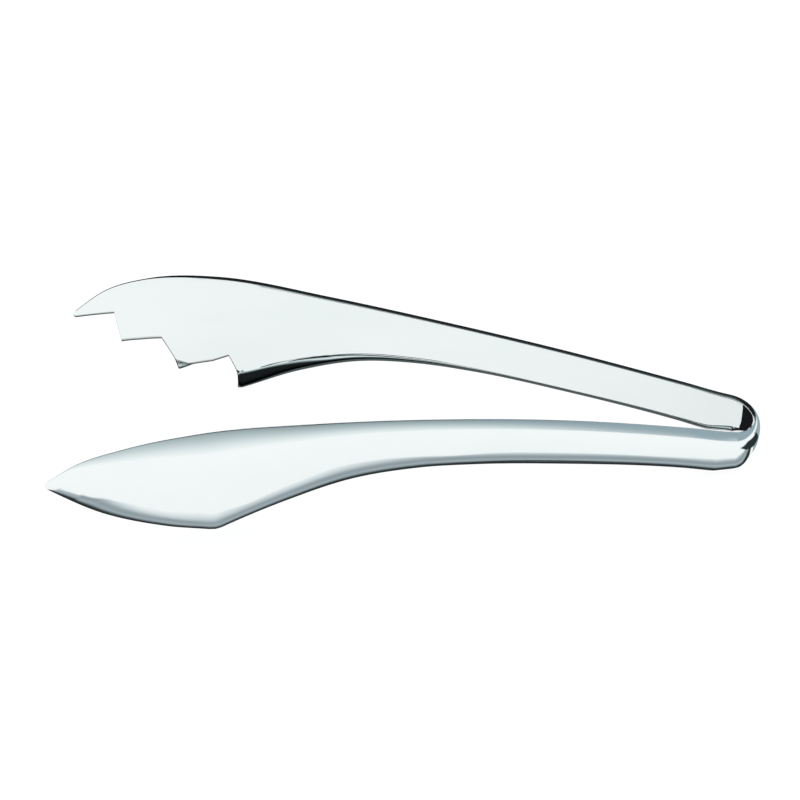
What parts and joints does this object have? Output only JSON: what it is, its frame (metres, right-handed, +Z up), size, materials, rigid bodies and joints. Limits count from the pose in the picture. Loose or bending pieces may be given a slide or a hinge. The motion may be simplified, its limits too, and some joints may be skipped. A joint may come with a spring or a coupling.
{
  "type": "serving tongs",
  "caption": "One-piece stainless steel serving tongs: a smooth leaf-shaped blade arm and a stepped, toothed arm joined by a U-shaped spring bow.",
  "frame": {"origin": "centre of the footprint, on the surface the tongs lie on", "axes": "+X from the tips to the spring bow, +Y from the blade arm to the toothed arm, +Z up, across the width of the strip"},
  "size_m": [0.24, 0.086, 0.0479],
  "materials": {
    "polished_stainless": "mirror-polished stainless steel"
  },
  "bodies": {
    "bow": {"spring_bow": "polished_stainless"},
    "blade": {"blade_arm": "polished_stainless"},
    "tooth": {"toothed_arm": "polished_stainless"}
  },
  "joints": [
    {"name": "tooth_flex", "type": "hinge", "parent": "bow", "child": "tooth", "pos_m": [0.11506, 0.00586, 0], "axis": [0, 0, 1], "range_deg": [-2, 9.5], "stiffness_Nm_per_rad": 9},
    {"name": "blade_flex", "type": "hinge", "parent": "bow", "child": "blade", "pos_m": [0.11506, -0.00586, 0], "axis": [0, 0, -1], "range_deg": [-2, 9.5], "stiffness_Nm_per_rad": 9}
  ],
  "couplings": [
    {"joint": "blade_flex", "follows": "tooth_flex", "ratio": 1}
  ]
}
